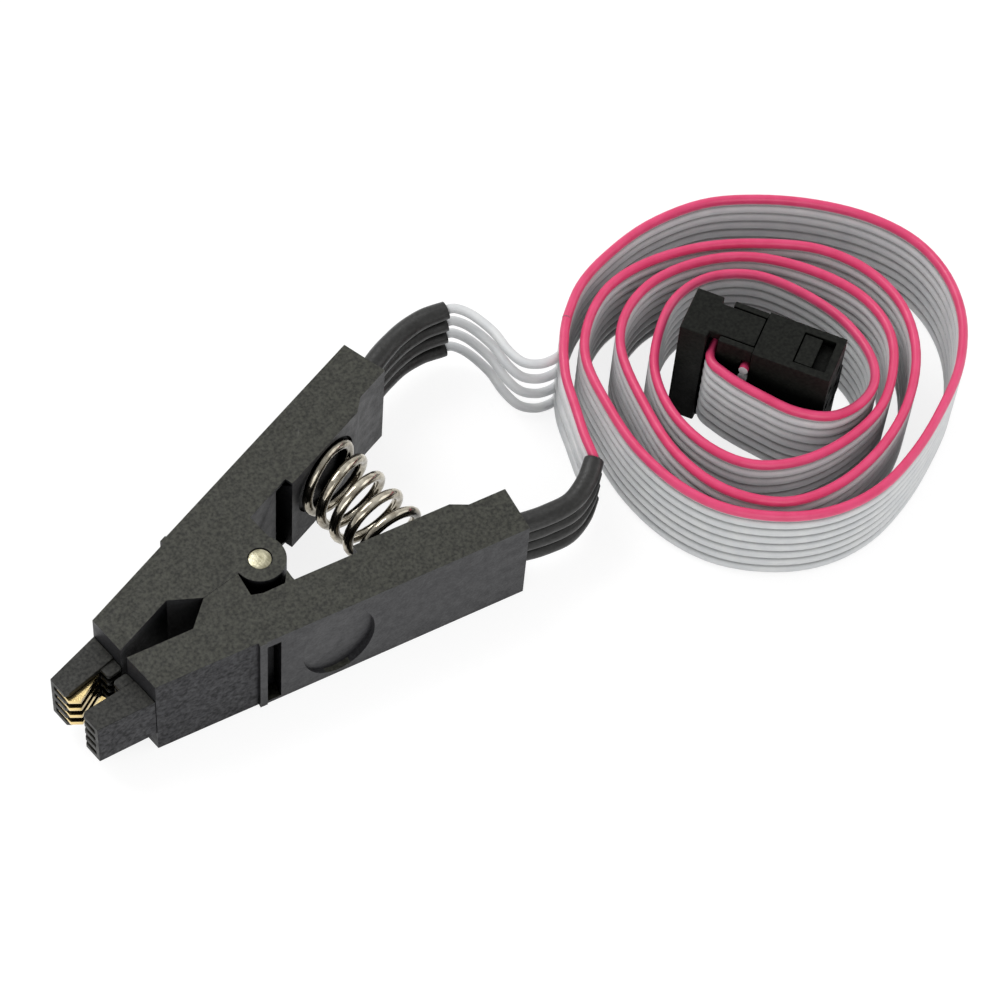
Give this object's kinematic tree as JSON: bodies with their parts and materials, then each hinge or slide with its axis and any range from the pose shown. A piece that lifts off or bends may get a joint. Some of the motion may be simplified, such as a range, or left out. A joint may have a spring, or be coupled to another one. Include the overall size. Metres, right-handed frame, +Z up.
{
  "type": "ic test clip",
  "caption": "Spring-closed test clip for a small-outline chip: hinged black jaws with gold contact blades, soldered leads and a coiled flat cable with a crimped socket.",
  "frame": {"origin": "on the surface it lies on, under the middle of the clip's own box (jaws, contacts, pin and spring; the cable isn't counted)", "axes": "+X from the jaw tips towards the handles, +Y towards the moving jaw, +Z up along the hinge pin; the clip is symmetric about the plane y = 0 apart from its hinge ears"},
  "size_m": [0.0931, 0.0431, 0.014],
  "materials": {
    "housing_plastic": "satin, lightly grained moulded black plastic",
    "comb_plastic": "fine matt black plastic",
    "contact_gold": "gold-plated stamped strip",
    "nickel": "nickel-plated steel",
    "sleeve_plastic": "shrunk plastic tubing, satin",
    "cable_plastic": "grey cable insulation with one pink edge wire, satin",
    "socket_plastic": "satin moulded black plastic"
  },
  "bodies": {
    "jaw_b": {"jaw_housing_b": "housing_plastic", "contact_comb_b": "comb_plastic", "contact_b_1": "contact_gold", "contact_b_2": "contact_gold", "contact_b_3": "contact_gold", "contact_b_4": "contact_gold", "hinge_pin": "nickel", "spring": "nickel", "sleeve_b_1": "sleeve_plastic", "sleeve_b_2": "sleeve_plastic", "sleeve_b_3": "sleeve_plastic", "sleeve_b_4": "sleeve_plastic", "leads_a": "cable_plastic", "leads_b": "cable_plastic", "ribbon_cable": "cable_plastic", "ribbon_fold": "cable_plastic", "socket_body": "socket_plastic", "socket_cover": "socket_plastic", "socket_strain_relief": "socket_plastic", "socket_contacts": "contact_gold"},
    "jaw_a": {"jaw_housing_a": "housing_plastic", "contact_comb_a": "comb_plastic", "contact_a_1": "contact_gold", "contact_a_2": "contact_gold", "contact_a_3": "contact_gold", "contact_a_4": "contact_gold", "sleeve_a_1": "sleeve_plastic", "sleeve_a_2": "sleeve_plastic", "sleeve_a_3": "sleeve_plastic", "sleeve_a_4": "sleeve_plastic"}
  },
  "joints": [
    {"name": "jaw_hinge", "type": "hinge", "parent": "jaw_b", "child": "jaw_a", "pos_m": [-0.00133, 0, 0.0055], "axis": [0, 0, -1], "range_deg": [0, 16], "stiffness_Nm_per_rad": 0.24, "springref_deg": -20.05, "deforming": ["spring", "leads_a"]}
  ]
}
